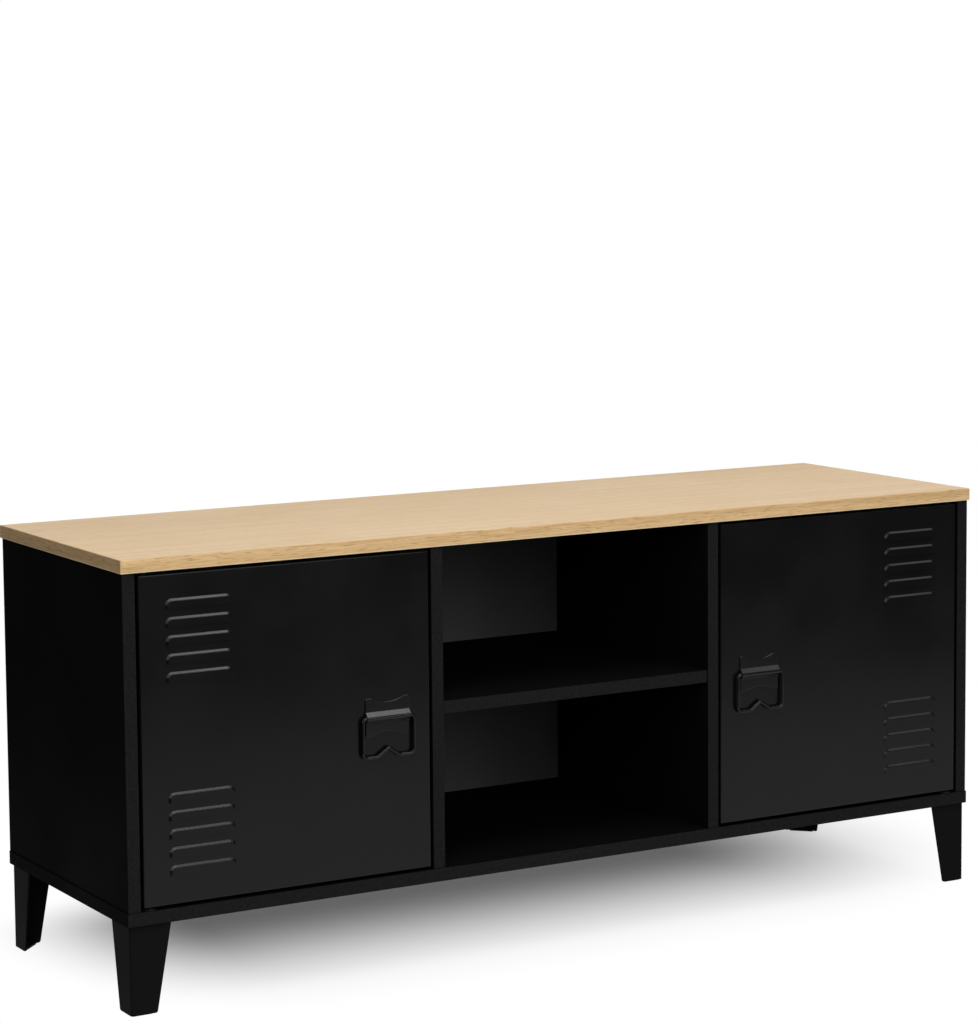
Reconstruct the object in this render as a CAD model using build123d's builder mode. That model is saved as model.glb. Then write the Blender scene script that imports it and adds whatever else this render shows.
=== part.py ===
from build123d import *
import os

# A low cabinet on four folded steel legs. An oak-faced top lies on a black board carcass with three
# bays: an open one with a shelf in the middle, and one behind a louvred sheet-steel door on each side.
# Millimetres. +X is to the right, +Y to the back and +Z up, and the front faces -Y.
# The origin is on the floor, under the centre of the top.

# Overall sizes
width = 1150.0
depth = 350.0
height = 500.0
leg_height = 100.0

# Boards
board = 15.0
back_board = 3.0
top_overhang = 2.0
base_overhang = 1.0
centre_bay = 362.0
upper_bay = 177.5
shelf_setback = 1.5
edge_radius = 0.6
top_band = 1.0
top_band_radius = 0.8
back_margin = 1.0

# Clearance round everything that sits in a hole, and of a pin that turns in one
seat = 0.05
running = 0.05

# Doors: folded pans of sheet steel
door_gap = 3.5
door_depth = 17.0
sheet = 1.0
door_lip = 12.0
door_bend = 1.5

# Louvres pressed out of the doors, in a group near the top and a group near the bottom
louvre_count = 5
louvre_pitch = 20.0
louvre_width = 80.0
louvre_height = 11.0
louvre_proud = 2.2
louvre_corner = 7.5
louvre_slope = 48.0
louvre_round = 1.0
louvre_from_hinge = 31.0
louvre_from_top = 27.5
louvre_from_bottom = 32.5

# Door pivots
pin_radius = 3.0
pin_from_edge = 9.0
pin_from_front = 8.0
pin_in_bush = 8.5
pin_head_radius = 4.5
pin_head = 2.0
bush_wall = 2.0
bush_depth = 10.0
bush_flange = 1.2
bush_floor = 1.0
bush_flange_radius = 7.5
pivot_plate = 3.0
pivot_plate_length = 34.0

# Ring pulls
wire = 4.0
ring_width = 69.0
ring_drop = 46.6
ring_shoulder = 4.0
ring_corner = 6.0
ring_split = 3.0
notch_width = 29.0
notch_height = 9.8
notch_bend = 3.2
pull_from_edge = 20.5
pull_drop = 2.0
plate_width = 56.0
plate_height = 44.5
plate_sheet = 1.5
plate_corner = 2.5
plate_round = 1.0
waist_width = 40.0
waist_depth = 5.0
knuckle_end_gap = 1.0
knuckle_wall = 0.95
knuckle_floor = 0.2
knuckle_rise = 6.8
stud_radius = 1.5
stud_length = 6.0
stud_spread = 40.0
stud_drop = 8.0
nut_flats = 5.5
nut_height = 2.4

# Legs
leg_sheet = 2.0
leg_inset = 3.0
leg_top_width = 49.0
leg_foot_width = 31.0
leg_foot_round = 3.0
leg_fold = 2.5
leg_plate_nose = 22.0
glide = 1.2
glide_inset = 3.0
glide_peg_radius = 2.0
glide_peg_from_corner = 10.0
leg_screw_near = 15.0
leg_screw_from_end = 11.0

# Screws, nails, cams and dowels
recess_slot = 0.9
recess_depth = 1.2
leg_screw_radius = 1.75
leg_screw_length = 12.0
leg_screw_head_radius = 3.5
leg_screw_head = 2.2
connector_radius = 3.5
connector_head_radius = 5.0
connector_length = 50.0
connector_socket = 4.0
connector_socket_depth = 3.0
base_screw_from_edge = 75.0
shelf_screw_from_edge = 62.0
cam_radius = 7.5
cam_floor = 2.5
cam_drop = 34.0
cam_from_edge = 50.0
cam_to_dowel = 14.0
bolt_radius = 3.0
bolt_neck_radius = 2.2
bolt_head_radius = 3.5
bolt_head = 3.0
bolt_thread = 11.0
bolt_hole_clearance = 0.4
dowel_radius = 4.0
dowel_in_face = 10.0
dowel_in_edge = 20.0
dowel_chamfer = 1.0
shelf_dowel_from_edge = 110.0
nail_radius = 0.8
nail_length = 20.0
nail_head_radius = 2.2
nail_head = 0.8
nails_per_upright = 4
nail_from_end = 30.0

# Magnetic catches
catch_from_top = 45.0
catch_height = 30.0
catch_ear = 11.0
catch_ear_thickness = 3.0
catch_width = 14.0
catch_depth = 20.0
catch_wall = 2.0
catch_gap = 0.4
pole = 1.5
pole_length = 12.0
magnet_setback = 1.0
catch_screw_radius = 1.5
catch_screw_length = 12.0
catch_screw_head_radius = 2.8
catch_screw_head = 1.8

# Places of the boards
top_under = height - board
floor_bay = leg_height + board
side_x = width / 2 - top_overhang
side_inner = side_x - board
front = -depth / 2 + top_overhang
back = depth / 2 - back_board
upright = top_under - floor_bay
bay_x = centre_bay / 2
partition_outer = bay_x + board
shelf_top = top_under - upper_bay
shelf_middle = shelf_top - board / 2
base_x = side_x + base_overhang
base_front = front - base_overhang
carcass_depth = back - front
side_middle = side_inner + board / 2
partition_middle = bay_x + board / 2
upright_middles = [-side_middle, -partition_middle, partition_middle, side_middle]

# Places of the doors
hinge_edge = -side_inner + door_gap
free_edge = -partition_outer - door_gap
door_width = free_edge - hinge_edge
door_low = floor_bay + door_gap
door_high = top_under - door_gap
door_height = door_high - door_low
door_x = (hinge_edge + free_edge) / 2
door_z = (door_low + door_high) / 2
door_back = front + door_depth
pin_x = hinge_edge + pin_from_edge
pin_y = front + pin_from_front

# Places of the pull on the left door
pull_x = free_edge - pull_from_edge - ring_width / 2
pull_z = door_z - pull_drop
bore_radius = wire / 2 + running
knuckle_width = ring_width - wire - 2 * (ring_shoulder + knuckle_end_gap)
knuckle_depth = knuckle_floor + bore_radius
pull_y = front - plate_sheet - knuckle_depth
stud_places = [(pull_x + side * stud_spread / 2, pull_z - stud_drop) for side in (-1, 1)]

# Turns that point a piece's own +Z along another axis
to_left = (0, -90, 0)
to_right = (0, 90, 0)
to_back = (-90, 0, 0)
to_floor = (180, 0, 0)

os.makedirs("parts", exist_ok=True)


def save(builder, node):
    """Name a finished piece and write it out."""
    builder.part.label = node
    export_step(builder.part, f"parts/{node}.step")


def rod(radius, start, end, mode=Mode.ADD):
    """A cylinder along the place's own Z, from start to end."""
    with Locations((0, 0, start)):
        Cylinder(radius, end - start, align=(Align.CENTER, Align.CENTER, Align.MIN), mode=mode)


def countersunk(radius, head_radius, length, mode=Mode.ADD, clearance=0.0):
    """A screw that goes down from the place, its head flush there."""
    head = head_radius - radius
    rod(radius + clearance, -length - clearance, 0, mode)
    Cone(
        radius + clearance,
        head_radius + clearance,
        head,
        align=(Align.CENTER, Align.CENTER, Align.MAX),
        mode=mode,
    )


def cross_recess(size):
    """The driver's cross, cut down from the place."""
    down = (Align.CENTER, Align.CENTER, Align.MAX)
    Box(size, recess_slot, recess_depth, align=down, mode=Mode.SUBTRACT)
    Box(recess_slot, size, recess_depth, align=down, mode=Mode.SUBTRACT)


def pan_head(radius, length, head_radius, head):
    """A screw whose head stands on the place, with its shank going down."""
    rod(radius, -length, 0)
    rod(head_radius, 0, head)
    with Locations((0, 0, head)):
        cross_recess(head_radius)


# Where the fittings go
cam_faces = [
    (-side_inner, -side_middle, to_right),
    (-partition_outer, -partition_middle, to_left),
    (partition_outer, partition_middle, to_right),
    (side_inner, side_middle, to_left),
]
cam_z = top_under - cam_drop
cam_depth = board - cam_floor
dowel_from_edge = cam_from_edge - cam_to_dowel
cam_ys = [front + cam_from_edge, back - cam_from_edge]
dowel_ys = [front + dowel_from_edge, back - dowel_from_edge]
base_screw_ys = [front + base_screw_from_edge, back - base_screw_from_edge]
shelf_screw_ys = [front + shelf_screw_from_edge, back - shelf_screw_from_edge]
shelf_dowel_ys = [front + shelf_dowel_from_edge, back - shelf_dowel_from_edge]
bolt_places = [(x, y, top_under) for x in upright_middles for y in cam_ys]
top_dowels = [Location((x, y, top_under)) for x in upright_middles for y in dowel_ys]
base_dowels = [Location((x, y, floor_bay), to_floor) for x in upright_middles for y in dowel_ys]
shelf_dowels = [Location((-bay_x, y, shelf_middle), to_left) for y in shelf_dowel_ys]
shelf_dowels += [Location((bay_x, y, shelf_middle), to_right) for y in shelf_dowel_ys]
base_screws = [Location((x, y, leg_height), to_floor) for x in upright_middles for y in base_screw_ys]
shelf_screws = [Location((-partition_outer, y, shelf_middle), to_left) for y in shelf_screw_ys]
shelf_screws += [Location((partition_outer, y, shelf_middle), to_right) for y in shelf_screw_ys]
bush_places = [Location((x, pin_y, floor_bay)) for x in (pin_x, -pin_x)]
bush_places += [Location((x, pin_y, top_under), to_floor) for x in (pin_x, -pin_x)]

nail_zs = [
    floor_bay + nail_from_end + i * (upright - 2 * nail_from_end) / (nails_per_upright - 1)
    for i in range(nails_per_upright)
]
bay_middle = (partition_outer + side_inner) / 2
nail_places = [(x, z) for x in upright_middles for z in nail_zs]
nail_places += [(x, leg_height + board / 2) for x in (-bay_middle, 0, bay_middle)]
nail_places += [(x, shelf_middle) for x in (-bay_x / 2, bay_x / 2)]
nails = [Location((x, back + back_board, z), to_back) for x, z in nail_places]

leg_screw_far = leg_top_width - leg_screw_from_end
leg_corner_x = base_x - leg_inset
leg_corner_front = base_front + leg_inset
leg_corner_back = back - leg_inset
leg_screw_steps = [
    (leg_screw_near, leg_screw_near),
    (leg_screw_far, leg_screw_near),
    (leg_screw_near, leg_screw_far),
]
leg_corners = [
    (sx, sy, sx * leg_corner_x, y)
    for sx in (-1, 1)
    for sy, y in ((-1, leg_corner_front), (1, leg_corner_back))
]
leg_screws = [
    Location((x - sx * dx, y - sy * dy, leg_height - leg_sheet), to_floor)
    for sx, sy, x, y in leg_corners
    for dx, dy in leg_screw_steps
]

catch_z = top_under - catch_from_top
catch_y = door_back + catch_gap
catch_screw_zs = [
    catch_z - catch_height / 2 - catch_ear / 2,
    catch_z + catch_height / 2 + catch_ear / 2,
]
catch_screw_y = catch_y + catch_depth / 2
catch_screw_reach = catch_screw_length + catch_ear_thickness
catch_ear_x = partition_outer + catch_ear_thickness
catch_screws = [Location((-catch_ear_x, catch_screw_y, z), to_left) for z in catch_screw_zs]
catch_screws += [Location((catch_ear_x, catch_screw_y, z), to_right) for z in catch_screw_zs]


def dowel_holes(places, deep):
    """Blind holes for dowels, going on from each place along its +Z."""
    with Locations(*places):
        rod(dowel_radius + seat, 0, deep + seat, Mode.SUBTRACT)


def dowel_edge_holes(places):
    """The longer half of the same dowels' holes, going back from each place."""
    with Locations(*places):
        rod(dowel_radius + seat, -dowel_in_edge - seat, 0, Mode.SUBTRACT)


def connector_holes(places):
    """Holes of the one-piece connector screws."""
    with Locations(*places):
        countersunk(connector_radius, connector_head_radius, connector_length, Mode.SUBTRACT, seat)


def nail_holes():
    with Locations(*nails):
        rod(nail_radius + seat, -nail_length - seat, 0, Mode.SUBTRACT)


def round_front(builder, radius):
    """Ease the long arrises of a board's front edge."""
    fillet(builder.faces().sort_by(Axis.Y)[0].edges(), radius)


# Top and its edging
with BuildPart() as top_panel:
    with Locations((0, 0, top_under)):
        Box(
            width - 2 * top_band,
            depth - 2 * top_band,
            board,
            align=(Align.CENTER, Align.CENTER, Align.MIN),
        )
    dowel_holes(top_dowels, dowel_in_face)
    with Locations(*bolt_places):
        rod(bolt_radius + seat, 0, bolt_thread + seat, Mode.SUBTRACT)
    with Locations(*bush_places[2:]):
        rod(pin_radius + running + bush_wall + seat, -bush_depth - seat, 0, Mode.SUBTRACT)
save(top_panel, "top_panel")

with BuildPart() as top_edge_band:
    with BuildSketch(Plane.XY.offset(top_under)):
        Rectangle(width, depth)
        Rectangle(width - 2 * top_band, depth - 2 * top_band, mode=Mode.SUBTRACT)
    extrude(amount=board)
    along_x = top_edge_band.faces().filter_by(Axis.X).sort_by(Axis.X)
    along_y = top_edge_band.faces().filter_by(Axis.Y).sort_by(Axis.Y)
    outer_faces = [along_x[0], along_x[-1], along_y[0], along_y[-1]]
    fillet([e for f in outer_faces for e in f.edges().filter_by(Axis.Z, reverse=True)], top_band_radius)
    for x in (-width / 2 + top_band, width / 2 - top_band):
        split(bisect_by=Plane.YZ.offset(x), keep=Keep.BOTH)
save(top_edge_band, "top_edge_band")

# Bottom panel
with BuildPart() as bottom_panel:
    with Locations((0, (base_front + back) / 2, leg_height)):
        Box(2 * base_x, back - base_front, board, align=(Align.CENTER, Align.CENTER, Align.MIN))
    round_front(bottom_panel, edge_radius)
    dowel_holes(base_dowels, dowel_in_face)
    connector_holes(base_screws)
    nail_holes()
    with Locations(*bush_places[:2]):
        rod(pin_radius + running + bush_wall + seat, -bush_depth - seat, 0, Mode.SUBTRACT)
    with Locations(*leg_screws):
        rod(leg_screw_radius + seat, -leg_screw_length - leg_sheet - seat, 0, Mode.SUBTRACT)
save(bottom_panel, "bottom_panel")


def upright_board(middle, node):
    """A side or a partition, with the holes of every fitting that meets it."""
    with BuildPart() as panel:
        with Locations((middle, (front + back) / 2, floor_bay)):
            Box(board, carcass_depth, upright, align=(Align.CENTER, Align.CENTER, Align.MIN))
        round_front(panel, edge_radius)
        dowel_edge_holes(top_dowels)
        dowel_edge_holes(base_dowels)
        connector_holes(base_screws)
        connector_holes(shelf_screws)
        dowel_holes(shelf_dowels, dowel_in_face)
        nail_holes()
        for face, _, turn in cam_faces:
            with Locations(*[Location((face, y, cam_z), turn) for y in cam_ys]):
                rod(cam_radius + seat, -cam_depth - seat, 0, Mode.SUBTRACT)
        with Locations(*bolt_places):
            rod(bolt_radius + bolt_hole_clearance, -cam_drop, 0, Mode.SUBTRACT)
        with Locations(*catch_screws):
            rod(catch_screw_radius + seat, -catch_screw_reach - seat, 0, Mode.SUBTRACT)
    save(panel, node)


upright_board(-side_middle, "left_side_panel")
upright_board(-partition_middle, "left_partition")
upright_board(partition_middle, "right_partition")
upright_board(side_middle, "right_side_panel")

# Shelf of the open bay
with BuildPart() as shelf:
    with Locations((0, (front + shelf_setback + back) / 2, shelf_middle)):
        Box(centre_bay, carcass_depth - shelf_setback, board)
    round_front(shelf, edge_radius)
    dowel_edge_holes(shelf_dowels)
    connector_holes(shelf_screws)
    nail_holes()
save(shelf, "shelf")

# Back panel and its nails
with BuildPart() as back_panel:
    with Locations((0, back, leg_height + back_margin)):
        Box(
            2 * (side_x - back_margin),
            back_board,
            top_under - leg_height - back_margin,
            align=(Align.CENTER, Align.MIN, Align.MIN),
        )
    nail_holes()
save(back_panel, "back_panel")

with BuildPart() as back_panel_nails:
    with Locations(*nails):
        rod(nail_radius, -nail_length, 0)
        rod(nail_head_radius, 0, nail_head)
save(back_panel_nails, "back_panel_nails")

# Knock-down fittings
with BuildPart() as cam_locks:
    for face, middle, turn in cam_faces:
        with Locations(*[Location((face, y, cam_z), turn) for y in cam_ys]):
            rod(cam_radius, -cam_depth, 0)
            cross_recess(cam_radius)
        with Locations(*[(middle, y, cam_z) for y in cam_ys]):
            rod(bolt_head_radius + bolt_hole_clearance, -bolt_head, cam_radius, Mode.SUBTRACT)
save(cam_locks, "cam_locks")

with BuildPart() as cam_bolts:
    with Locations(*bolt_places):
        head_top = -cam_drop + bolt_hole_clearance
        rod(bolt_radius, -cam_drop + cam_radius, bolt_thread)
        rod(bolt_neck_radius, -cam_drop, -cam_drop + cam_radius)
        rod(bolt_head_radius, head_top - bolt_head, head_top)
save(cam_bolts, "cam_bolts")

with BuildPart() as dowels:
    with Locations(*top_dowels, *base_dowels, *shelf_dowels):
        rod(dowel_radius, -dowel_in_edge, dowel_in_face)
    chamfer(dowels.edges().filter_by(GeomType.CIRCLE), dowel_chamfer)
save(dowels, "dowels")


def connectors(places, node):
    """One-piece connector screws with a hexagon socket."""
    with BuildPart() as screws:
        with Locations(*places):
            countersunk(connector_radius, connector_head_radius, connector_length)
        for place in places:
            with BuildSketch(Plane(place)):
                RegularPolygon(connector_socket / 2, 6, major_radius=False)
            extrude(amount=-connector_socket_depth, mode=Mode.SUBTRACT)
    save(screws, node)


connectors(base_screws, "bottom_screws")
connectors(shelf_screws, "shelf_screws")

# Legs: an L folded from sheet, with a plate under the board and a three-cornered foot
with BuildPart() as leg_front_left:
    leg_plane = Plane((-leg_corner_x, leg_corner_front, glide))
    leg_rise = leg_height - glide
    with BuildSketch(leg_plane):
        Rectangle(leg_top_width, leg_top_width, align=(Align.MIN, Align.MIN))
        with Locations((leg_sheet, leg_sheet)):
            Rectangle(leg_top_width, leg_top_width, align=(Align.MIN, Align.MIN), mode=Mode.SUBTRACT)
    extrude(amount=leg_rise)
    fold = leg_front_left.edges().filter_by(Axis.Z).group_by(Axis.Y)[0].sort_by(Axis.X)[0]
    fillet(fold, leg_fold)
    beyond = 2 * leg_top_width
    taper = [(leg_foot_width, 0), (leg_top_width, leg_rise), (beyond, leg_rise), (beyond, 0)]
    with BuildSketch(Plane(leg_plane.origin, x_dir=(1, 0, 0), z_dir=(0, -1, 0))):
        Polygon(*taper, align=None)
    extrude(amount=-beyond, mode=Mode.SUBTRACT)
    with BuildSketch(Plane(leg_plane.origin, x_dir=(0, 1, 0), z_dir=(1, 0, 0))):
        Polygon(*taper, align=None)
    extrude(amount=beyond, mode=Mode.SUBTRACT)
    foot = leg_front_left.edges().group_by(Axis.Z)[0]
    foot_ends = [foot.filter_by(Axis.Y).sort_by(Axis.X)[-1], foot.filter_by(Axis.X).sort_by(Axis.Y)[-1]]
    fillet(foot_ends, leg_foot_round)
    inside = leg_sheet / 2
    foot_reach = leg_foot_width - leg_foot_round
    with BuildSketch(leg_plane.offset(leg_rise - leg_sheet)):
        Polygon(
            (inside, inside),
            (leg_top_width - leg_sheet, inside),
            (leg_top_width - leg_sheet, leg_plate_nose),
            (leg_plate_nose, leg_top_width - leg_sheet),
            (inside, leg_top_width - leg_sheet),
            align=None,
        )
    extrude(amount=leg_sheet)
    with BuildSketch(leg_plane):
        Polygon((inside, inside), (foot_reach, inside), (inside, foot_reach), align=None)
    extrude(amount=leg_sheet)
    with Locations(*leg_screws):
        rod(leg_screw_radius + seat, -leg_sheet, 0, Mode.SUBTRACT)
    with Locations(leg_plane.origin + Vector(glide_peg_from_corner, glide_peg_from_corner, 0)):
        rod(glide_peg_radius + seat, 0, leg_sheet, Mode.SUBTRACT)
save(leg_front_left, "leg_front_left")

leg_middle = (leg_corner_front + leg_corner_back) / 2
with BuildPart() as leg_front_right:
    mirror(leg_front_left.part, about=Plane.YZ)
save(leg_front_right, "leg_front_right")

with BuildPart() as leg_back_left:
    mirror(leg_front_left.part, about=Plane.XZ.offset(-leg_middle))
save(leg_back_left, "leg_back_left")

with BuildPart() as leg_back_right:
    mirror(leg_back_left.part, about=Plane.YZ)
save(leg_back_right, "leg_back_right")

with BuildPart() as leg_screw_set:
    with Locations(*leg_screws):
        pan_head(leg_screw_radius, leg_screw_length + leg_sheet, leg_screw_head_radius, leg_screw_head)
save(leg_screw_set, "leg_screws")

with BuildPart() as foot_glides:
    for sx, sy, x, y in leg_corners:
        reach = leg_foot_width - 2 * glide_inset
        pad = [(glide_inset, glide_inset), (reach, glide_inset), (glide_inset, reach)]
        with BuildSketch():
            Polygon(*[(x - sx * dx, y - sy * dy) for dx, dy in pad], align=None)
        extrude(amount=glide)
        with Locations((x - sx * glide_peg_from_corner, y - sy * glide_peg_from_corner, glide)):
            rod(glide_peg_radius, 0, 2 * leg_sheet)
save(foot_glides, "foot_glides")

# Pivot bushes in the top and bottom panels
with BuildPart() as pivot_bushes:
    with Locations(*bush_places):
        rod(pin_radius + running + bush_wall, -bush_depth, 0)
        rod(bush_flange_radius, 0, bush_flange)
        rod(pin_radius + running, -bush_depth + bush_floor, bush_flange, Mode.SUBTRACT)
save(pivot_bushes, "pivot_bushes")

# Magnetic catches on the partitions, behind the doors' free edges
pocket = catch_width - 2 * catch_wall
with BuildPart() as left_catch_body:
    with Locations((-partition_outer, catch_y, catch_z)):
        Box(catch_width, catch_depth, catch_height, align=(Align.MAX, Align.MIN, Align.CENTER))
        Box(
            catch_ear_thickness,
            catch_depth,
            catch_height + 2 * catch_ear,
            align=(Align.MAX, Align.MIN, Align.CENTER),
        )
    fillet(left_catch_body.faces().sort_by(Axis.X)[0].edges(), edge_radius)
    with Locations((-partition_outer - catch_wall, catch_y, catch_z)):
        Box(
            pocket,
            pole_length,
            catch_height - 2 * catch_wall,
            align=(Align.MAX, Align.MIN, Align.CENTER),
            mode=Mode.SUBTRACT,
        )
    with Locations(*catch_screws):
        rod(catch_screw_radius + seat, -catch_ear_thickness, 0, Mode.SUBTRACT)
save(left_catch_body, "left_catch_body")

with BuildPart() as right_catch_body:
    mirror(left_catch_body.part, about=Plane.YZ)
save(right_catch_body, "right_catch_body")

with BuildPart() as catch_pole_plates:
    for x in (-partition_outer - catch_wall, -partition_outer - catch_wall - pocket + pole):
        with Locations((x, catch_y, catch_z)):
            Box(
                pole,
                pole_length,
                catch_height - 2 * catch_wall,
                align=(Align.MAX, Align.MIN, Align.CENTER),
            )
    mirror(about=Plane.YZ)
save(catch_pole_plates, "catch_pole_plates")

with BuildPart() as catch_magnets:
    with Locations((-partition_outer - catch_wall - pole, catch_y + magnet_setback, catch_z)):
        Box(
            pocket - 2 * pole,
            pole_length - magnet_setback,
            catch_height - 2 * catch_wall,
            align=(Align.MAX, Align.MIN, Align.CENTER),
        )
    mirror(about=Plane.YZ)
save(catch_magnets, "catch_magnets")

with BuildPart() as catch_screw_set:
    with Locations(*catch_screws):
        pan_head(
            catch_screw_radius,
            catch_screw_reach,
            catch_screw_head_radius,
            catch_screw_head,
        )
save(catch_screw_set, "catch_screws")

# One louvre: a hood with its mouth at the bottom, standing out of the plane Y = 0, and the room inside it
hood_plane = Plane((0, 0, 0), x_dir=(1, 0, 0), z_dir=(0, -1, 0))

with BuildPart() as hood:
    with BuildSketch(hood_plane) as hood_outline:
        Rectangle(louvre_width, 2 * louvre_height)
        fillet(hood_outline.vertices(), louvre_corner)
    extrude(amount=louvre_proud, taper=louvre_slope)
    fillet(hood.faces().sort_by(Axis.Y)[0].edges(), louvre_round)
    split(bisect_by=Plane.XY, keep=Keep.TOP)

with BuildPart() as hood_room:
    with BuildSketch(hood_plane) as room_outline:
        Rectangle(louvre_width - 2 * sheet, 2 * (louvre_height - sheet))
        fillet(room_outline.vertices(), louvre_corner - sheet)
    extrude(amount=louvre_proud - sheet, taper=louvre_slope)
    with BuildSketch(hood_plane) as opening_outline:
        Rectangle(louvre_width - 2 * sheet, 2 * (louvre_height - sheet))
        fillet(opening_outline.vertices(), louvre_corner - sheet)
    extrude(amount=-2 * sheet)
    split(bisect_by=Plane.XY, keep=Keep.TOP)

group_span = (louvre_count - 1) * louvre_pitch + louvre_height
group_lows = [door_low + louvre_from_bottom, door_high - louvre_from_top - group_span]
louvre_x = hinge_edge + louvre_from_hinge + louvre_width / 2
louvre_places = [
    (louvre_x, front, low + i * louvre_pitch) for low in group_lows for i in range(louvre_count)
]

# Left door: a pan with a lip folded in round its back
with BuildPart() as left_door_panel:
    with Locations((door_x, front, door_z)):
        Box(door_width, door_depth, door_height, align=(Align.CENTER, Align.MIN, Align.CENTER))
    fillet(left_door_panel.faces().sort_by(Axis.Y)[0].edges(), door_bend)
    with Locations((door_x, front + sheet, door_z)):
        Box(
            door_width - 2 * sheet,
            door_depth - 2 * sheet,
            door_height - 2 * sheet,
            align=(Align.CENTER, Align.MIN, Align.CENTER),
            mode=Mode.SUBTRACT,
        )
        Box(
            door_width - 2 * door_lip,
            door_depth,
            door_height - 2 * door_lip,
            align=(Align.CENTER, Align.MIN, Align.CENTER),
            mode=Mode.SUBTRACT,
        )
    with Locations(*louvre_places):
        add(hood.part)
    with Locations(*louvre_places):
        add(hood_room.part, mode=Mode.SUBTRACT)
    with Locations((pin_x, pin_y, door_z)):
        Cylinder(pin_radius + seat, door_height, mode=Mode.SUBTRACT)
    with Locations(*[Location((x, front, z), to_back) for x, z in stud_places]):
        rod(stud_radius + seat, 0, sheet, Mode.SUBTRACT)
save(left_door_panel, "left_door_panel")

# Hinge hardware of the left door
door_ends = [Location((pin_x, pin_y, door_high)), Location((pin_x, pin_y, door_low), to_floor)]
with BuildPart() as left_pivot_plates:
    for z, side in ((door_high - sheet, Align.MAX), (door_low + sheet, Align.MIN)):
        with Locations((hinge_edge + sheet, front + sheet, z)):
            Box(
                pivot_plate_length,
                door_depth - 2 * sheet,
                pivot_plate,
                align=(Align.MIN, Align.MIN, side),
            )
    with Locations(*door_ends):
        rod(pin_radius + seat, -sheet - pivot_plate, 0, Mode.SUBTRACT)
save(left_pivot_plates, "left_pivot_plates")

with BuildPart() as left_pivot_pins:
    with Locations(*door_ends):
        rod(pin_radius, -sheet - pivot_plate, door_gap + pin_in_bush)
        rod(pin_head_radius, 0, door_gap - bush_flange - running)
        rod(pin_head_radius, -sheet - pivot_plate - pin_head, -sheet - pivot_plate)
save(left_pivot_pins, "left_pivot_pins")

# Pull of the left door: a waisted plate with a ridge round the wire, and the wire ring that hangs in it
front_plane = Plane((pull_x, front, pull_z), x_dir=(1, 0, 0), z_dir=(0, -1, 0))
knuckle_end = Plane((pull_x - knuckle_width / 2, pull_y, pull_z), x_dir=(0, 1, 0), z_dir=(1, 0, 0))
half_plate = plate_height / 2
half_waist = waist_width / 2
with BuildPart() as left_pull_plate:
    with BuildSketch(front_plane) as plate_outline:
        with BuildLine():
            left_end = Polyline(
                (-half_waist, half_plate),
                (-plate_width / 2, half_plate),
                (-plate_width / 2, -half_plate),
                (-half_waist, -half_plate),
            )
            right_end = Polyline(
                (half_waist, -half_plate),
                (plate_width / 2, -half_plate),
                (plate_width / 2, half_plate),
                (half_waist, half_plate),
            )
            ThreePointArc(left_end @ 1, (0, waist_depth - half_plate), right_end @ 0)
            ThreePointArc(right_end @ 1, (0, half_plate - waist_depth), left_end @ 0)
        make_face()
        corners = plate_outline.vertices().group_by(Axis.X)
        fillet(corners[0] + corners[-1], plate_corner)
    extrude(amount=plate_sheet)
    fillet(left_pull_plate.faces().sort_by(Axis.Y)[0].edges(), plate_round)
    with BuildSketch(knuckle_end):
        with BuildLine():
            CenterArc((0, 0), bore_radius + knuckle_wall, 0, 360)
            Line((knuckle_depth, -knuckle_rise), (knuckle_depth, knuckle_rise))
        make_hull()
    extrude(amount=knuckle_width)
    with Locations(Location((pull_x, pull_y, pull_z), to_right)):
        Cylinder(bore_radius, knuckle_width, mode=Mode.SUBTRACT)
    with Locations(*[Location((x, front, z), to_back) for x, z in stud_places]):
        rod(stud_radius, 0, stud_length)
save(left_pull_plate, "left_pull_plate")

with BuildPart() as left_pull_nuts:
    for x, z in stud_places:
        with BuildSketch(Plane((x, front + sheet, z), x_dir=(1, 0, 0), z_dir=(0, 1, 0))):
            RegularPolygon(nut_flats / 2, 6, major_radius=False)
            Circle(stud_radius + seat, mode=Mode.SUBTRACT)
        extrude(amount=nut_height)
save(left_pull_nuts, "left_pull_nuts")

ring_plane = Plane((pull_x, pull_y, pull_z), x_dir=(1, 0, 0), z_dir=(0, -1, 0))
ring_half = (ring_width - wire) / 2
ring_low = wire / 2 - ring_drop
with BuildPart() as left_pull_ring:
    with BuildLine(ring_plane) as ring_line:
        FilletPolyline(
            (ring_split / 2, 0),
            (ring_half, 0),
            (ring_half, ring_low),
            (notch_width / 2, ring_low),
            (0, ring_low + notch_height),
            (-notch_width / 2, ring_low),
            (-ring_half, ring_low),
            (-ring_half, 0),
            (-ring_split / 2, 0),
            radius=[
                ring_shoulder,
                ring_corner,
                notch_bend,
                notch_bend,
                notch_bend,
                ring_corner,
                ring_shoulder,
            ],
        )
    with BuildSketch(Plane(ring_line.line @ 0, z_dir=ring_line.line % 0)):
        Circle(wire / 2)
    sweep()
save(left_pull_ring, "left_pull_ring")

# The right door and its pull are the left ones mirrored
for left, node in (
    (left_door_panel, "right_door_panel"),
    (left_pivot_plates, "right_pivot_plates"),
    (left_pivot_pins, "right_pivot_pins"),
    (left_pull_plate, "right_pull_plate"),
    (left_pull_nuts, "right_pull_nuts"),
    (left_pull_ring, "right_pull_ring"),
):
    with BuildPart() as right:
        mirror(left.part, about=Plane.YZ)
    save(right, node)
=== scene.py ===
import math

import bpy
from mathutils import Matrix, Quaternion, Vector

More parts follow.
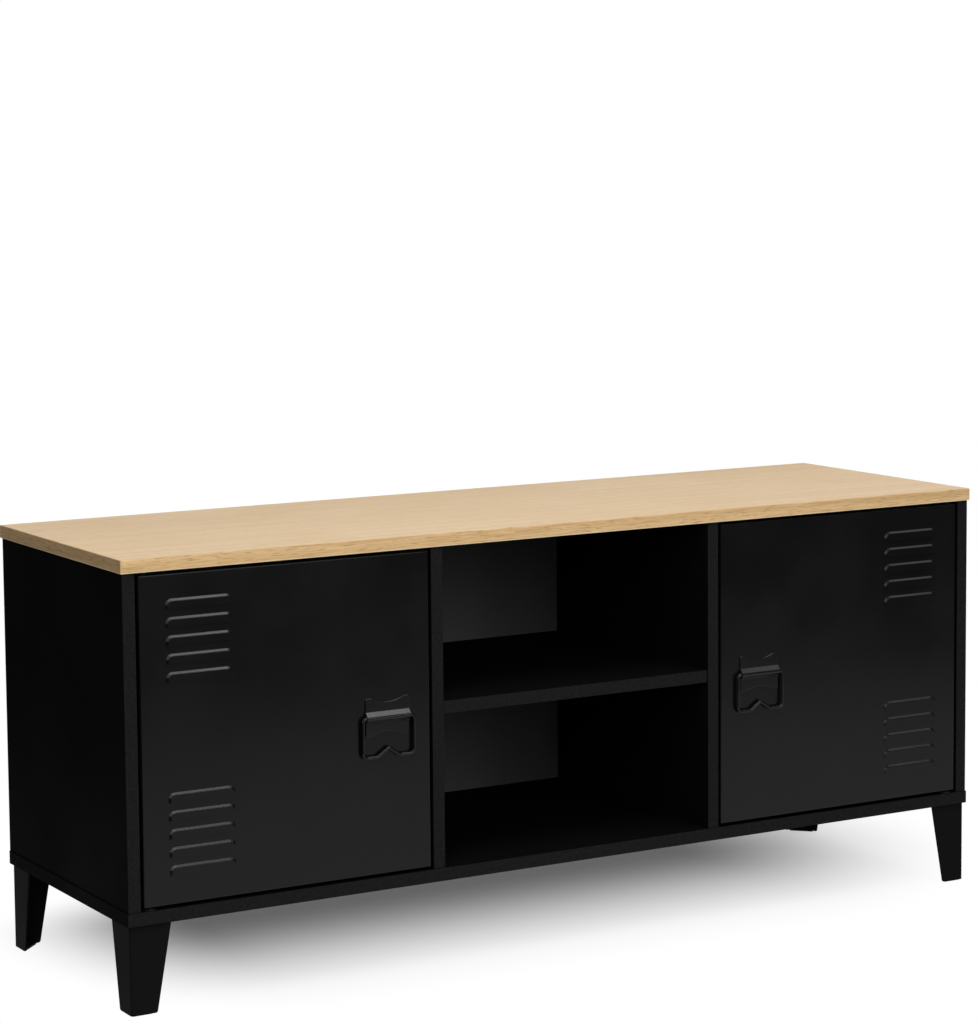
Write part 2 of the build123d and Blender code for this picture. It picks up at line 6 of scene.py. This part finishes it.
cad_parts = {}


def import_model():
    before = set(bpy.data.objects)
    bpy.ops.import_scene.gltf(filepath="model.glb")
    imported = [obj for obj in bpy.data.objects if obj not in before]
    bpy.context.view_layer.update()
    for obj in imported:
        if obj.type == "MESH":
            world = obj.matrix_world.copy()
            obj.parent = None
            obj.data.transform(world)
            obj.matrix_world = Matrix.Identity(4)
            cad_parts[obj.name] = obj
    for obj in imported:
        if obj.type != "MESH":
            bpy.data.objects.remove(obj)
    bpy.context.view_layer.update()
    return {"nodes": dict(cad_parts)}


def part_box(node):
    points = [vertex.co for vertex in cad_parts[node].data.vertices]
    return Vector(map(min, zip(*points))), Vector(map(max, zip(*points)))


# The looks of a low cabinet: oak-faced top, black board carcass, black sheet-steel doors, pulls and legs.
# Metres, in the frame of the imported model: +X right, +Y back, +Z up, and the floor at Z = 0.

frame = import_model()
nodes = frame["nodes"]

# Camera, as the photograph was taken. The lens axis meets the photograph at AXIS_ROW.
PHOTO_SIZE = (978, 1024)
FOCAL_PIXELS = 3062.2
AXIS_ROW = 430.0
CAMERA_PLACE = (-1.8571, -3.1621, 0.9598)
CAMERA_TURN = (84.276, 0.489, -30.231)
SENSOR = 36.0

# Floor: a pale disc whose shadow is faded out by a painted white glow. SHADOW_X and SHADOW_Y are where the
# glow is least and the shadow fullest, SHADOW_ENDS how far the painted fade runs.
FLOOR_CENTRE = (0.5, -0.1)
FLOOR_RADIUS = 1.5
FLOOR_SIDES = 128
FLOOR_WHITE = (0.50, 0.50, 0.50)
FLOOR_MOTTLE = 0.99
SHADOW_X = (-0.34, 0.34)
SHADOW_Y = 0.17
SHADOW_ENDS = {"left": 0.275, "right": 0.42, "front": 0.44, "back": 0.21}
SHADOW_LIFT = 0.08

# World: a white backdrop behind the object, and a dim room round it that is lighter on the right
BACKDROP_WAY = (0.50, 0.86, 0.0)
BACKDROP_EDGE = (0.55, 0.90)
FILL_SIDE = (-0.6, 1.0)
FILL_RANGE = (0.03, 0.40)
FILL_GLOSS = 0.35

# Lamps. Each faces its aim, or straight down without one, and leans round its own axis by some degrees.
LAMPS = {
    "overhead": {"place": (-0.25, -1.3, 3.0), "size": (3.8, 0.7), "watts": 75.0, "lean": 23.0},
    "key": {"place": (0.9, -5.0, 2.0), "size": (2.0, 2.0), "watts": 45.0, "aim": (0.0, 0.0, 0.3)},
    "strip": {"place": (1.9, -4.9, 2.0), "size": (1.1, 2.0), "watts": 36.0, "aim": (-0.3, -0.2, 0.3)},
    "side": {"place": (-2.15, -1.95, 1.4), "size": (1.2, 1.7), "watts": 22.0, "aim": (-0.1, -0.2, 0.45)},
    "near": {
        "place": (-1.4, -2.55, 1.95),
        "size": (0.5, 2.8),
        "watts": 14.0,
        "aim": (0.45, -0.18, 0.42),
        "lean": -21.0,
    },
    "sheen": {"place": (2.6, -1.05, 3.0), "size": (1.2, 1.0), "watts": 9.0},
}

# Oak: tones are the light wood, the dark wood and the pores, linear. Cells are the patches of noise to a
# metre, along and across the grain.
BOARD_OAK = {
    "tones": ((0.712, 0.518, 0.306), (0.556, 0.380, 0.206), (0.400, 0.250, 0.122)),
    "contrast": 0.50,
    "fibre_cells": (7.0, 620.0),
    "pore_cells": (55.0, 1300.0),
}
EDGE_OAK = {
    "tones": ((0.618, 0.422, 0.213), (0.425, 0.258, 0.104), (0.325, 0.185, 0.070)),
    "contrast": 0.72,
    "fibre_cells": (24.0, 520.0),
    "pore_cells": (58.0, 640.0),
}
DRIFT_CELLS = (1.4, 6.0)
DRIFT_WIDTH = 0.05
RING_CELLS = (0.9, 95.0)
STREAK_SPAN = (0.36, 0.66)
PORE_SPAN = (0.55, 0.72)
FIBRE_HEIGHT = 0.3
OAK_GLOSS = 0.25
EDGE_SLANT = 0.4
ARRIS_TONE = (0.760, 0.620, 0.400)
ARRIS_RISE = (0.0004, 0.0018)
ARRIS_SHARE = 0.85

# Colours of the other finishes, linear
BLACK_BOARD = (0.0029, 0.0029, 0.0030)
BLACK_EDGE = (0.0086, 0.0086, 0.0087)
BLACK_BACK = (0.0680, 0.0680, 0.0685)
BLACK_STEEL = (0.0022, 0.0022, 0.0023)
BLACK_PULL = (0.0024, 0.0024, 0.0025)
BLACK_LEG = (0.0050, 0.0050, 0.0051)
BLACK_NYLON = (0.008, 0.008, 0.008)
BLACK_PLASTIC = (0.010, 0.010, 0.010)
HARDBOARD_DARK = (0.16, 0.085, 0.040)
HARDBOARD_LIGHT = (0.30, 0.18, 0.095)
BEECH_LIGHT = (0.62, 0.44, 0.27)
BEECH_DARK = (0.48, 0.31, 0.17)
BRIGHT_STEEL = (0.62, 0.62, 0.60)
CAST_ZINC = (0.50, 0.51, 0.53)
FERRITE = (0.030, 0.029, 0.028)

LACQUER = 0.0004  # depth of the back panel that is black
FRONT_FACING = (-0.9, -0.5)  # a normal's Y, from a front edge to any other face
NOISE_SPAN = (0.3, 0.7)  # where nearly all of a noise lies


class Tree:
    """A node tree, with short ways to add nodes to it."""

    def __init__(self, tree):
        self.tree = tree

    def add(self, kind, **settings):
        """Add a node with its settings."""
        node = self.tree.nodes.new(kind)
        for key, value in settings.items():
            setattr(node, key, value)
        return node

    def set(self, socket, value):
        """Give a socket a number or a colour, or link another node's output to it."""
        if isinstance(value, bpy.types.NodeSocket):
            self.tree.links.new(value, socket)
        elif socket.type == "RGBA":
            socket.default_value = (*value, 1.0)
        else:
            socket.default_value = value

    def fill(self, node, *values):
        """Set a node's inputs in their order."""
        for socket, value in zip(node.inputs, values):
            self.set(socket, value)

    def math(self, operation, *values):
        node = self.add("ShaderNodeMath", operation=operation)
        self.fill(node, *values)
        return node.outputs[0]

    def beyond(self, a, b):
        """The larger of two values, or nothing if both are below nothing."""
        return self.math("MAXIMUM", self.math("MAXIMUM", a, b), 0.0)

    def split(self, vector):
        node = self.add("ShaderNodeSeparateXYZ")
        self.fill(node, vector)
        return node.outputs

    def join(self, x, y, z):
        node = self.add("ShaderNodeCombineXYZ")
        self.fill(node, x, y, z)
        return node.outputs[0]

    def noise(self, vector, scale, detail=2.0, roughness=0.5):
        node = self.add("ShaderNodeTexNoise")
        settings = {"Vector": vector, "Scale": scale, "Detail": detail, "Roughness": roughness}
        for key, value in settings.items():
            self.set(node.inputs[key], value)
        return node.outputs["Fac"]

    def grain(self, along, across, cells, detail=2.0):
        """Noise drawn out along one direction."""
        stretch, fineness = cells
        place = self.join(
            self.math("MULTIPLY", along, stretch),
            self.math("MULTIPLY", across, fineness),
            fineness,
        )
        return self.noise(place, 1.0, detail)

    def remap(self, value, span, to=(0.0, 1.0)):
        """Smoothly carry a span of values to another."""
        node = self.add("ShaderNodeMapRange", interpolation_type="SMOOTHSTEP")
        self.fill(node, value, *span, *to)
        return node.outputs["Result"]

    def mix(self, factor, a, b, kind="RGBA"):
        """Blend two colours, or two numbers where the kind is FLOAT."""
        node = self.add("ShaderNodeMix", data_type=kind)
        for key, value in (("Factor", factor), ("A", a), ("B", b)):
            self.set(node.inputs[key], value)
        return node.outputs["Result"]

    def rays(self, kind):
        """1 for the rays of a kind."""
        return self.add("ShaderNodeLightPath").outputs[f"Is {kind} Ray"]


class Finish(Tree):
    """A new material."""

    def __init__(self, name):
        self.material = bpy.data.materials.new(name)
        self.material.use_nodes = True
        super().__init__(self.material.node_tree)
        self.shader = self.tree.nodes["Principled BSDF"]
        coordinate = self.add("ShaderNodeTexCoord")
        self.place = coordinate.outputs["Object"]
        self.facing = coordinate.outputs["Normal"]

    def surface(self, **sockets):
        """Set the main shader's sockets: Base_Color stands for "Base Color"."""
        for key, value in sockets.items():
            self.set(self.shader.inputs[key.replace("_", " ")], value)

    def bump(self, height, depth, strength):
        node = self.add("ShaderNodeBump")
        for key, value in (("Height", height), ("Distance", depth), ("Strength", strength)):
            self.set(node.inputs[key], value)
        self.set(self.shader.inputs["Normal"], node.outputs["Normal"])


def scaled(colour, factor):
    """A lighter or darker colour."""
    return tuple(channel * factor for channel in colour)


def oak(finish, along, across, tones, contrast, fibre_cells, pore_cells):
    """Colour and height of oak grain that runs with `along`: growth streaks, fibres and short dark pores."""
    light, dark, deep = tones
    drift = finish.grain(along, across, DRIFT_CELLS)
    warped = finish.math("MULTIPLY_ADD", drift, DRIFT_WIDTH, across)
    rings = finish.grain(along, warped, RING_CELLS, detail=3.0)
    fibres = finish.grain(along, across, fibre_cells)
    pores = finish.grain(along, across, pore_cells, detail=1.0)
    mean = finish.math("MULTIPLY", finish.math("ADD", rings, fibres), 0.5)
    streak = finish.remap(mean, STREAK_SPAN, (0.0, contrast))
    pit = finish.remap(pores, PORE_SPAN, (0.0, contrast))
    colour = finish.mix(pit, finish.mix(streak, light, dark), deep)
    height = finish.math("SUBTRACT", finish.math("MULTIPLY", fibres, FIBRE_HEIGHT), pit)
    return colour, height


def oak_board():
    """Printed oak face of the top, with its grain along the length."""
    finish = Finish("oak_board")
    x, y = finish.split(finish.place)[:2]
    colour, height = oak(finish, x, y, **BOARD_OAK)
    cloud = finish.noise(finish.place, scale=9.0)
    finish.surface(
        Base_Color=colour,
        Roughness=finish.remap(cloud, NOISE_SPAN, (0.48, 0.56)),
        Specular_IOR_Level=OAK_GLOSS,
    )
    finish.bump(height, depth=0.00006, strength=0.4)
    return finish


def oak_edging():
    """Oak edging strips, with grain along each strip and a paler band along the lower arris."""
    finish = Finish("oak_edging")
    x, y, z = finish.split(finish.place)
    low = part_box("top_edge_band")[0]
    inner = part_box("top_panel")[1]
    at_end = finish.math("GREATER_THAN", finish.math("ABSOLUTE", x), inner.x)
    along = finish.mix(at_end, x, y, kind="FLOAT")
    inward = finish.mix(at_end, y, x, kind="FLOAT")
    across = finish.math("MULTIPLY_ADD", inward, EDGE_SLANT, z)
    colour, height = oak(finish, along, across, **EDGE_OAK)
    # Paler along the lower arris, within ARRIS_RISE of its bottom.
    arris = finish.remap(z, [low.z + rise for rise in ARRIS_RISE], (ARRIS_SHARE, 0.0))
    finish.surface(
        Base_Color=finish.mix(arris, colour, ARRIS_TONE),
        Roughness=0.5,
        Specular_IOR_Level=OAK_GLOSS,
    )
    finish.bump(height, depth=0.00008, strength=0.6)
    return finish


def black_board():
    """Black melamine: matt faces with a fine pearl, and streaky edging on the front edges."""
    finish = Finish("black_board")
    x, _, z = finish.split(finish.place)
    front = finish.remap(finish.split(finish.facing)[1], FRONT_FACING, (1.0, 0.0))
    pearl = finish.noise(finish.place, scale=1900.0)
    cloud = finish.noise(finish.place, scale=7.0, detail=3.0)
    streaks = finish.noise(finish.join(x, 0.0, z), scale=260.0, detail=4.0)
    face = finish.mix(cloud, BLACK_BOARD, scaled(BLACK_BOARD, 1.2))
    edge = finish.mix(finish.remap(streaks, NOISE_SPAN), BLACK_EDGE, scaled(BLACK_EDGE, 1.5))
    finish.surface(
        Base_Color=finish.mix(front, face, edge),
        Roughness=finish.remap(cloud, NOISE_SPAN, (0.52, 0.62)),
        Specular_IOR_Level=0.005,
    )
    finish.bump(pearl, depth=0.00005, strength=0.5)
    return finish


def powder_coat(name, colour, rough, specular, peel_scale):
    """Powder-coated steel with a fine orange peel."""
    finish = Finish(name)
    peel = finish.noise(finish.place, peel_scale)
    cloud = finish.noise(finish.place, scale=9.0)
    finish.surface(
        Base_Color=finish.mix(cloud, colour, scaled(colour, 1.35)),
        Roughness=finish.remap(cloud, NOISE_SPAN, (rough - 0.03, rough + 0.05)),
        Specular_IOR_Level=specular,
    )
    finish.bump(peel, depth=0.00008, strength=0.35)
    return finish


def back_board():
    """Thin hardboard: black lacquer on the face inside, raw brown fibre behind."""
    finish = Finish("back_board")
    y = finish.split(finish.place)[1]
    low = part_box("back_panel")[0]
    behind = finish.math("GREATER_THAN", y, low.y + LACQUER)
    fibre = finish.noise(finish.place, scale=900.0, detail=4.0, roughness=0.7)
    cloud = finish.noise(finish.place, scale=30.0, detail=3.0)
    raw = finish.mix(finish.math("MULTIPLY", fibre, cloud), HARDBOARD_DARK, HARDBOARD_LIGHT)
    finish.surface(
        Base_Color=finish.mix(behind, BLACK_BACK, raw),
        Roughness=finish.mix(behind, 0.55, 0.75, kind="FLOAT"),
        Specular_IOR_Level=0.05,
    )
    finish.bump(fibre, depth=0.00010, strength=0.4)
    return finish


def metal(name, colour, rough):
    """Bare or plated metal with fine scratches."""
    finish = Finish(name)
    scratch = finish.noise(finish.place, scale=700.0, detail=3.0, roughness=0.6)
    finish.surface(
        Base_Color=finish.mix(scratch, colour, scaled(colour, 0.75)),
        Metallic=1.0,
        Roughness=finish.remap(scratch, NOISE_SPAN, (rough - 0.06, rough + 0.08)),
    )
    finish.bump(scratch, depth=0.00003, strength=0.4)
    return finish


def moulded(name, colour, rough):
    """Moulded plastic or sintered magnet."""
    finish = Finish(name)
    grain = finish.noise(finish.place, scale=1500.0)
    finish.surface(
        Base_Color=finish.mix(grain, colour, scaled(colour, 1.25)),
        Roughness=finish.remap(grain, NOISE_SPAN, (rough - 0.05, rough + 0.05)),
        Specular_IOR_Level=0.15,
    )
    finish.bump(grain, depth=0.00004, strength=0.4)
    return finish


def beech():
    """Turned dowel of pale beech."""
    finish = Finish("beech")
    fleck = finish.noise(finish.place, scale=1200.0)
    finish.surface(
        Base_Color=finish.mix(fleck, BEECH_LIGHT, BEECH_DARK),
        Roughness=0.6,
    )
    finish.bump(fleck, depth=0.00005, strength=0.5)
    return finish


def dress_nodes():
    """Give every CAD node the finish of its slot in the record. The legs' coat is duller than the doors'."""
    finishes = {
        "oak_board": oak_board(),
        "oak_edging": oak_edging(),
        "black_board": black_board(),
        "back_board": back_board(),
        "black_steel": powder_coat("black_steel", BLACK_STEEL, rough=0.23, specular=0.19, peel_scale=900.0),
        "black_pull": powder_coat("black_pull", BLACK_PULL, rough=0.21, specular=0.22, peel_scale=1400.0),
        "bright_steel": metal("bright_steel", BRIGHT_STEEL, rough=0.30),
        "black_screw": powder_coat("black_screw", BLACK_PULL, rough=0.35, specular=0.12, peel_scale=2000.0),
        "cast_zinc": metal("cast_zinc", CAST_ZINC, rough=0.42),
        "beech": beech(),
        "nylon": moulded("nylon", BLACK_NYLON, rough=0.5),
        "black_plastic": moulded("black_plastic", BLACK_PLASTIC, rough=0.5),
        "ferrite": moulded("ferrite", FERRITE, rough=0.6),
    }
    leg_coat = powder_coat("black_leg", BLACK_LEG, rough=0.50, specular=0.010, peel_scale=900.0)
    for name, node in nodes.items():
        materials = node.data.materials
        slot = materials[0].name.split(".")[0]
        is_leg = name.startswith("leg_") and slot == "black_steel"
        finish = leg_coat if is_leg else finishes[slot]
        materials.clear()
        materials.append(finish.material)


def set_camera():
    data = bpy.data.cameras.new("camera")
    data.sensor_width = SENSOR
    data.lens = FOCAL_PIXELS * SENSOR / max(PHOTO_SIZE)
    data.shift_y = (AXIS_ROW - PHOTO_SIZE[1] / 2) / max(PHOTO_SIZE)
    camera = bpy.data.objects.new("camera", data)
    camera.location = CAMERA_PLACE
    camera.rotation_euler = [math.radians(angle) for angle in CAMERA_TURN]
    bpy.context.collection.objects.link(camera)
    bpy.context.scene.camera = camera


def softbox(name, place, size, watts, aim=None, lean=0.0):
    """Add a soft rectangular lamp."""
    data = bpy.data.lights.new(name, "AREA")
    data.shape = "RECTANGLE"
    data.size, data.size_y = size
    data.energy = watts
    lamp = bpy.data.objects.new(name, data)
    lamp.location = place
    turn = Quaternion((0.0, 0.0, 1.0), math.radians(lean))
    if aim:
        turn = (Vector(aim) - Vector(place)).to_track_quat("-Z", "Y") @ turn
    lamp.rotation_euler = turn.to_euler()
    bpy.context.collection.objects.link(lamp)


def lights():
    """A long lamp overhead, two large ones in front, and three weak ones for the gleam on pressed edges."""
    for name, settings in LAMPS.items():
        softbox(name, **settings)


def floor_finish():
    """Pale paper lit by the lamps. For the rays that show the background a painted white glow is mixed in:
    faint over the shadow's core and full white where SHADOW_ENDS reach, so the shadow's fade is painted.
    """
    finish = Finish("floor")
    x, y = finish.split(finish.place)[:2]
    left = finish.math("DIVIDE", finish.math("SUBTRACT", SHADOW_X[0], x), SHADOW_ENDS["left"])
    right = finish.math("DIVIDE", finish.math("SUBTRACT", x, SHADOW_X[1]), SHADOW_ENDS["right"])
    front = finish.math("DIVIDE", finish.math("SUBTRACT", SHADOW_Y, y), SHADOW_ENDS["front"])
    back = finish.math("DIVIDE", finish.math("SUBTRACT", y, SHADOW_Y), SHADOW_ENDS["back"])
    across = finish.beyond(left, right)
    along = finish.beyond(front, back)
    reach = finish.math("MULTIPLY_ADD", across, across, finish.math("MULTIPLY", along, along))
    # painted glow: how much white emission lightens the shadow, from SHADOW_LIFT at its core to full white
    # at its ends
    painted_glow = finish.remap(finish.math("SQRT", reach), (0.0, 1.0), (SHADOW_LIFT, 1.0))
    paper = finish.noise(finish.place, scale=60.0)
    finish.surface(
        Base_Color=finish.mix(paper, FLOOR_WHITE, scaled(FLOOR_WHITE, FLOOR_MOTTLE)),
        Roughness=0.9,
        Specular_IOR_Level=0.0,
    )
    seen = finish.math("MAXIMUM", finish.rays("Camera"), finish.rays("Glossy"))
    seen = finish.math("MAXIMUM", seen, finish.rays("Transmission"))
    white = finish.add("ShaderNodeEmission")
    blend = finish.add("ShaderNodeMixShader")
    finish.fill(blend, finish.math("MULTIPLY", painted_glow, seen), finish.shader.outputs[0], white.outputs[0])
    finish.set(finish.tree.nodes["Material Output"].inputs["Surface"], blend.outputs[0])
    return finish


def floor():
    """A round floor that keeps the shadow."""
    turns = [2 * math.pi * i / FLOOR_SIDES for i in range(FLOOR_SIDES)]
    ring = [
        (
            FLOOR_CENTRE[0] + FLOOR_RADIUS * math.cos(turn),
            FLOOR_CENTRE[1] + FLOOR_RADIUS * math.sin(turn),
            0.0,
        )
        for turn in turns
    ]
    mesh = bpy.data.meshes.new("floor")
    mesh.from_pydata(ring, [], [list(range(FLOOR_SIDES))])
    mesh.materials.append(floor_finish().material)
    disc = bpy.data.objects.new("floor", mesh)
    bpy.context.collection.objects.link(disc)


def world():
    """White for the camera. Other rays see a white backdrop behind the object or the dim room round it."""
    data = bpy.data.worlds.new("studio")
    bpy.context.scene.world = data
    data.use_nodes = True
    sky = Tree(data.node_tree)
    way = sky.add("ShaderNodeTexCoord").outputs["Generated"]
    towards = sky.add("ShaderNodeVectorMath", operation="DOT_PRODUCT")
    sky.fill(towards, way, BACKDROP_WAY)
    backdrop = sky.remap(towards.outputs["Value"], BACKDROP_EDGE)
    glossy = sky.rays("Glossy")
    shown = sky.math("MAXIMUM", sky.rays("Camera"), sky.rays("Transmission"))
    shown = sky.math("MAXIMUM", shown, sky.math("MULTIPLY", glossy, backdrop))
    room = sky.remap(sky.split(way)[0], FILL_SIDE, FILL_RANGE)
    room = sky.math("MULTIPLY", room, sky.remap(glossy, (0.0, 1.0), (1.0, FILL_GLOSS)))
    background = sky.tree.nodes["Background"]
    sky.fill(background, (1.0, 1.0, 1.0), sky.mix(shown, room, 1.0, kind="FLOAT"))


dress_nodes()
set_camera()
floor()
world()
lights()
bpy.context.scene.view_settings.view_transform = "Standard"
